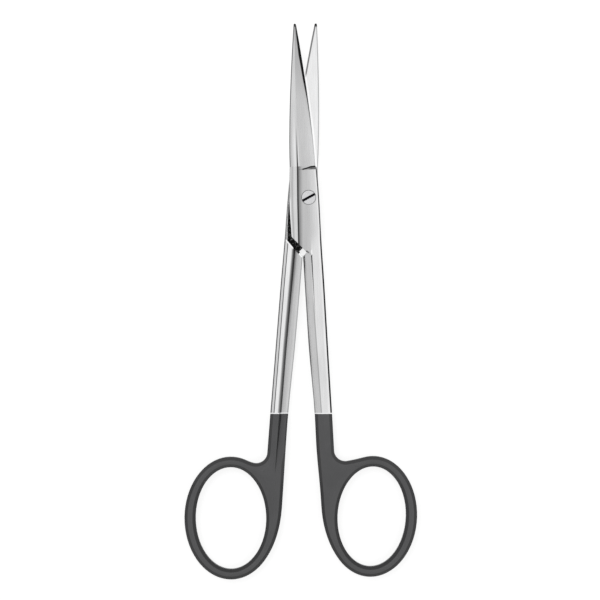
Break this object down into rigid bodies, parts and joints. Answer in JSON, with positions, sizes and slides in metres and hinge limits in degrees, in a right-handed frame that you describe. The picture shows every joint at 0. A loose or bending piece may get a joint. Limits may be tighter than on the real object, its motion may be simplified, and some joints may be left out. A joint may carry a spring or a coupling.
{
  "type": "gum scissors",
  "caption": "Slim straight scissors with fine pointed blades, a slotted pivot screw, long shanks and two oval finger rings with black coated handles.",
  "frame": {"origin": "on the pivot axis, at the height of the surface that the scissors lie on", "axes": "+Z along the pivot axis, away from the surface; +Y towards the blade tips; +X towards the finger ring of the front half"},
  "size_m": [0.0668, 0.1598, 0.0042],
  "materials": {
    "blade_steel": "satin ground steel, with a matt black coating on the handles",
    "screw_steel": "fine turned steel"
  },
  "bodies": {
    "rear": {"rear_half": "blade_steel", "pivot_screw": "screw_steel"},
    "front": {"front_half": "blade_steel"}
  },
  "joints": [
    {"name": "blade_pivot", "type": "hinge", "parent": "rear", "child": "front", "pos_m": [0, 0, 0.0021], "axis": [0, 0, 1], "range_deg": [-6.9, 63]}
  ]
}
